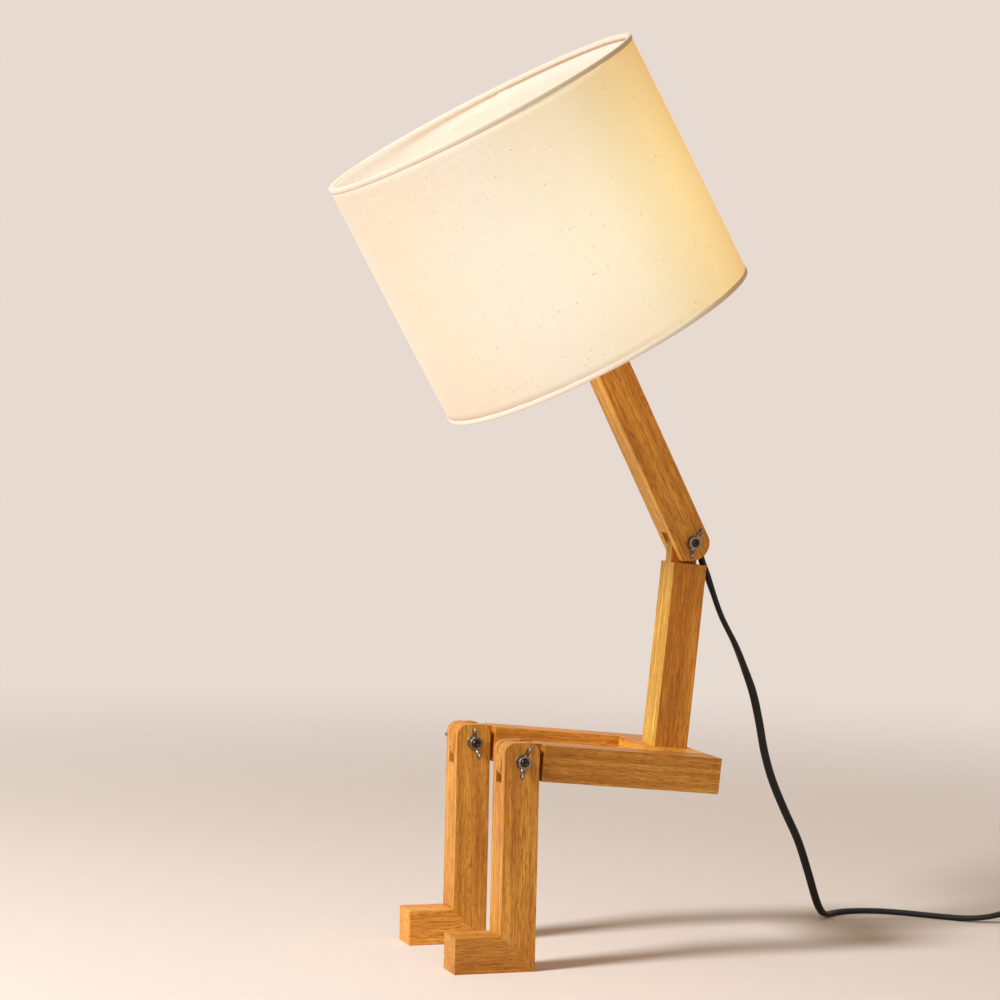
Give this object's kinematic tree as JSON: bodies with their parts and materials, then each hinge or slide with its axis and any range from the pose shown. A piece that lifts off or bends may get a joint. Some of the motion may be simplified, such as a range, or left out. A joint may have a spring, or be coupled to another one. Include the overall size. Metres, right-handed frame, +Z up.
{
  "type": "desk lamp",
  "caption": "Wooden figure desk lamp with hinged legs, seat and torso, a swing arm on wing-nut joints, a fabric drum shade and a corded inline rocker switch.",
  "frame": {"origin": "on the surface the soles stand on, under the middle of the shade, in the middle plane between the legs", "axes": "+Z up, -Y the way the feet point, +X towards the lamp's left leg"},
  "size_m": [0.22, 0.6751, 0.6082],
  "materials": {
    "wood": "oiled honey-brown oak, fine dark pores along the grain",
    "foot_wood": "oiled honey oak, lighter cut of the same bar",
    "dowel_wood": "bare beech",
    "nickel": "bright nickel plating",
    "steel": "zinc-plated steel",
    "brass": "plain brass",
    "linen": "off-white linen with slubs, matte",
    "lining": "smooth pale laminated lining",
    "holder_plastic": "moulded off-white thermoplastic",
    "frosted_glass": "frosted",
    "black_plastic": "moulded black plastic, fine grain",
    "cord_jacket": "smooth black sheath, satin"
  },
  "bodies": {
    "hips": {"left_thigh": "wood", "right_thigh": "wood", "seat_block": "wood", "seat_dowels": "dowel_wood", "torso": "wood", "torso_screws": "steel", "cord_clip": "black_plastic", "mains_cord": "cord_jacket", "switch_base": "black_plastic", "switch_cover": "black_plastic", "switch_contacts": "brass", "switch_screws": "steel", "switch_sleeves": "black_plastic", "switch_lead": "cord_jacket", "cord_coil": "cord_jacket", "coil_tie": "black_plastic", "plug_lead": "cord_jacket", "plug_sleeve": "black_plastic", "plug_body": "black_plastic", "plug_pins": "nickel"},
    "left_leg": {"left_shin": "wood", "left_foot": "foot_wood", "left_foot_dowels": "dowel_wood", "left_knee_bolt": "nickel", "left_knee_washers": "steel"},
    "left_knee_nut": {"left_wing_nut": "nickel"},
    "right_leg": {"right_shin": "wood", "right_foot": "foot_wood", "right_foot_dowels": "dowel_wood", "right_knee_bolt": "nickel", "right_knee_washers": "steel"},
    "right_knee_nut": {"right_wing_nut": "nickel"},
    "swing_arm": {"upper_arm": "wood", "arm_cable": "cord_jacket", "elbow_bolt": "nickel", "elbow_washers": "steel", "holder_nipple": "brass", "holder_cap": "holder_plastic", "holder_core": "holder_plastic", "holder_shell": "holder_plastic", "holder_thread": "brass", "shade_ring_nut": "holder_plastic", "shade_fitter": "steel", "shade_lower_ring": "steel", "shade_upper_ring": "steel", "shade_lining": "lining", "shade_fabric": "linen", "bulb_cap": "nickel", "bulb_contact": "black_plastic", "bulb_glass": "frosted_glass"},
    "elbow_nut": {"elbow_wing_nut": "nickel"},
    "rocker": {"switch_rocker": "black_plastic"}
  },
  "joints": [
    {"name": "left_knee", "type": "hinge", "parent": "hips", "child": "left_leg", "pos_m": [0.05, -0.02393, 0.1355], "axis": [1, 0, 0], "range_deg": [-95, 5]},
    {"name": "right_knee", "type": "hinge", "parent": "hips", "child": "right_leg", "pos_m": [-0.05, -0.02393, 0.1355], "axis": [1, 0, 0], "range_deg": [-95, 5]},
    {"name": "elbow", "type": "hinge", "parent": "hips", "child": "swing_arm", "pos_m": [0, 0.11004, 0.27314], "axis": [1, 0, 0], "range_deg": [-92, 57]},
    {"name": "left_knee_nut_turn", "type": "hinge", "parent": "left_leg", "child": "left_knee_nut", "pos_m": [0.05, -0.02393, 0.1355], "axis": [1, 0, 0], "continuous": true},
    {"name": "right_knee_nut_turn", "type": "hinge", "parent": "right_leg", "child": "right_knee_nut", "pos_m": [-0.05, -0.02393, 0.1355], "axis": [1, 0, 0], "continuous": true},
    {"name": "elbow_nut_turn", "type": "hinge", "parent": "swing_arm", "child": "elbow_nut", "pos_m": [0, 0.11004, 0.27314], "axis": [1, 0, 0], "continuous": true},
    {"name": "rocker_tip", "type": "hinge", "parent": "hips", "child": "rocker", "pos_m": [-0.033, 0.425, 0.0124], "axis": [1, 0, 0], "range_deg": [-16, 0]}
  ]
}
